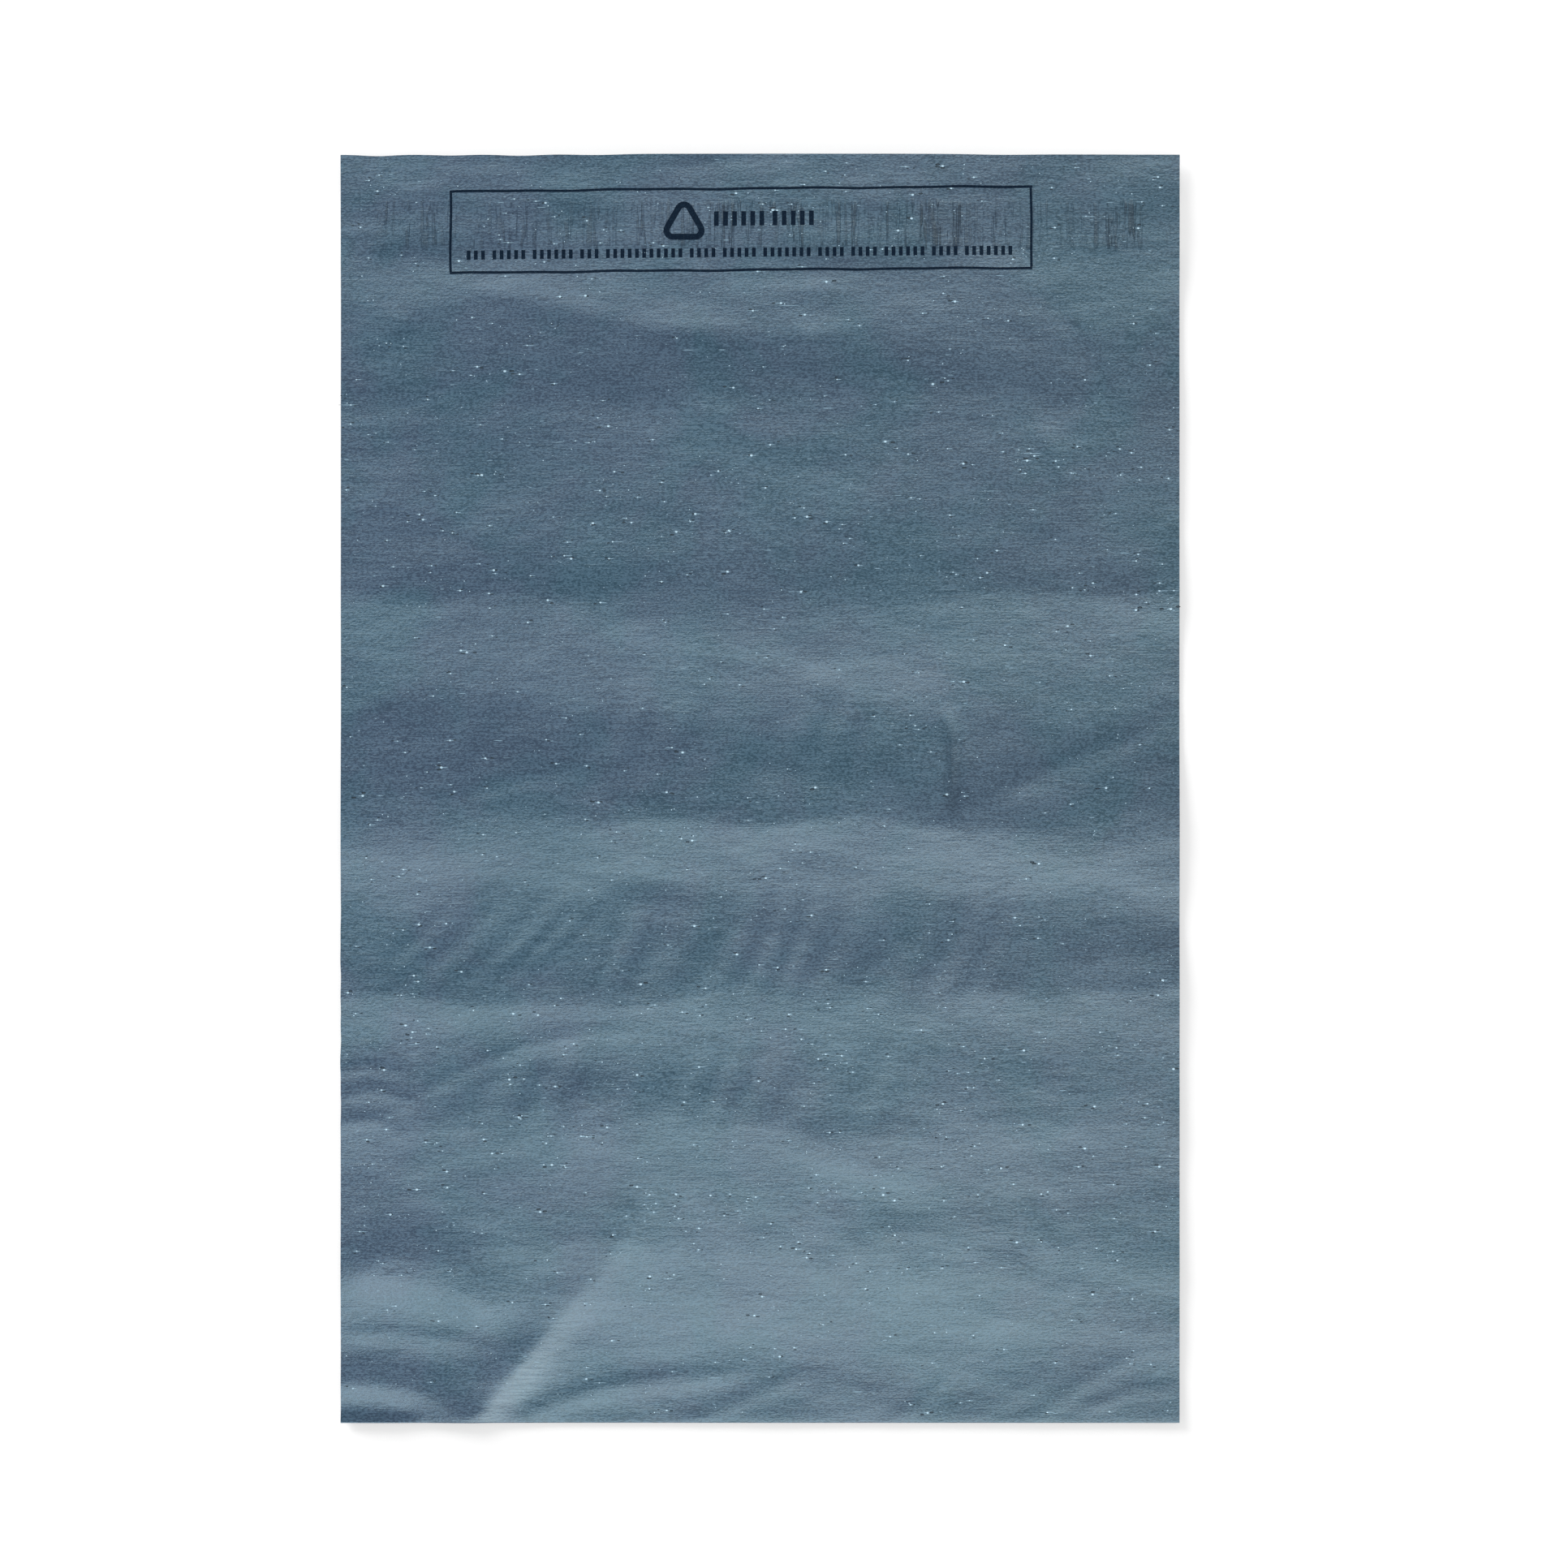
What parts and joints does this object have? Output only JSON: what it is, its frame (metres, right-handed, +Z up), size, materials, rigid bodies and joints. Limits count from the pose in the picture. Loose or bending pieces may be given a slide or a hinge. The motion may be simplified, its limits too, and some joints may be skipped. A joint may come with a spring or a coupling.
{
  "type": "mailing bag",
  "caption": "Empty self-seal polyethylene mailing bag, lying flat with its printed back panel up and its closing flap open.",
  "frame": {"origin": "under the middle of the bag, flap included, on the surface it lies on", "axes": "+X across the bag, +Y from the bottom fold to the flap's cut edge, +Z up out of the printed back panel"},
  "size_m": [0.305, 0.461, 0.0072],
  "materials": {
    "grey_film": "satin blue-grey recycled polyethylene film",
    "hot_melt": "tacky, glossy hot-melt adhesive",
    "siliconed_liner": "smooth siliconed release film",
    "print_ink": "thin dark navy printing ink",
    "gel_specks": "pale unmelted specks in the film"
  },
  "bodies": {
    "root": {"film_bag": "grey_film", "adhesive_strip": "hot_melt", "release_liner": "siliconed_liner"}
  },
  "joints": []
}
